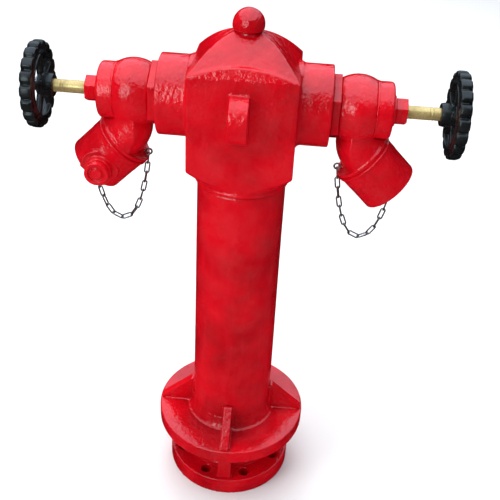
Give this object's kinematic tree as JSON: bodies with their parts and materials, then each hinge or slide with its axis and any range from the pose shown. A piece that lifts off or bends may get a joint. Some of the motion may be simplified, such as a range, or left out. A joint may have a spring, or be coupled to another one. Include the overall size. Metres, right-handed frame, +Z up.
{
  "type": "pillar fire hydrant",
  "caption": "Red flanged pillar hydrant with a domed square head, opposed screw-down valves with black handwheels, and angled capped outlets on chains.",
  "frame": {"origin": "centre of the inlet flange's lower face", "axes": "+Z up along the standpipe, X through both handwheels, -Y towards the side on which the left outlet's release lug stands"},
  "size_m": [0.632, 0.262, 0.8567],
  "materials": {
    "red_enamel": "glossy enamel over rough casting",
    "black_wheel": "semi-gloss moulded",
    "brass": "machined",
    "rubber": "matte",
    "steel": "galvanised"
  },
  "bodies": {
    "hydrant": {"inlet_flange": "red_enamel", "standpipe": "red_enamel", "ground_plate": "red_enamel", "plate_gussets": "red_enamel", "flange_ribs": "red_enamel", "weld_beads": "red_enamel", "head_casting": "red_enamel", "top_knob": "red_enamel", "left_union_nipple": "red_enamel", "left_valve_body": "red_enamel", "left_seat_ring": "brass", "left_bonnet_gasket": "rubber", "left_bonnet": "red_enamel", "left_gland_packing": "rubber", "left_gland_nut": "red_enamel", "left_outlet_coupling": "red_enamel", "left_coupling_seal": "rubber", "left_lug_spring": "steel", "left_lug_retainer": "brass", "left_chain_eye": "steel", "left_chain": "steel", "right_union_nipple": "red_enamel", "right_valve_body": "red_enamel", "right_seat_ring": "brass", "right_bonnet_gasket": "rubber", "right_bonnet": "red_enamel", "right_gland_packing": "rubber", "right_gland_nut": "red_enamel", "right_outlet_coupling": "red_enamel", "right_coupling_seal": "rubber", "right_lug_spring": "steel", "right_lug_retainer": "brass", "right_chain_eye": "steel", "right_chain": "steel"},
    "left_disc": {"left_valve_disc": "brass", "left_disc_washer": "rubber", "left_disc_nut": "brass"},
    "left_spindle": {"left_stem": "brass", "left_handwheel": "black_wheel", "left_wheel_washer": "steel", "left_wheel_nut": "steel"},
    "left_lug": {"left_lug_plunger": "red_enamel"},
    "left_cap": {"left_blank_cap": "brass", "left_cap_seal": "rubber", "left_cap_eye": "steel"},
    "right_disc": {"right_valve_disc": "brass", "right_disc_washer": "rubber", "right_disc_nut": "brass"},
    "right_spindle": {"right_stem": "brass", "right_handwheel": "black_wheel", "right_wheel_washer": "steel", "right_wheel_nut": "steel"},
    "right_lug": {"right_lug_plunger": "red_enamel"},
    "right_cap": {"right_blank_cap": "brass", "right_cap_seal": "rubber", "right_cap_eye": "steel"}
  },
  "joints": [
    {"name": "left_disc_lift", "type": "slide", "parent": "hydrant", "child": "left_disc", "axis": [-1, 0, 0], "range_m": [0, 0.02]},
    {"name": "left_wheel_turn", "type": "hinge", "parent": "left_disc", "child": "left_spindle", "pos_m": [-0.3, 0, 0.722], "axis": [-1, 0, 0], "range_deg": [0, 1440]},
    {"name": "left_lug_pull", "type": "slide", "parent": "hydrant", "child": "left_lug", "axis": [0, -1, 0], "range_m": [0, 0.0055], "stiffness_N_per_m": 1500, "springref_m": -0.004, "deforming": ["left_lug_spring"]},
    {"name": "left_cap_pull", "type": "slide", "parent": "hydrant", "child": "left_cap", "axis": [-0.7071, 0, -0.7071], "range_m": [0, 0.04], "deforming": ["left_chain"]},
    {"name": "right_disc_lift", "type": "slide", "parent": "hydrant", "child": "right_disc", "axis": [1, 0, 0], "range_m": [0, 0.02]},
    {"name": "right_wheel_turn", "type": "hinge", "parent": "right_disc", "child": "right_spindle", "pos_m": [0.3, 0, 0.722], "axis": [1, 0, 0], "range_deg": [0, 1440]},
    {"name": "right_lug_pull", "type": "slide", "parent": "hydrant", "child": "right_lug", "axis": [0, 1, 0], "range_m": [0, 0.0055], "stiffness_N_per_m": 1500, "springref_m": -0.004, "deforming": ["right_lug_spring"]},
    {"name": "right_cap_pull", "type": "slide", "parent": "hydrant", "child": "right_cap", "axis": [0.7071, 0, -0.7071], "range_m": [0, 0.04], "deforming": ["right_chain"]}
  ],
  "couplings": [
    {"joint": "left_disc_lift", "follows": "left_wheel_turn", "m_per_rad": 0.000795},
    {"joint": "right_disc_lift", "follows": "right_wheel_turn", "m_per_rad": 0.000795}
  ]
}
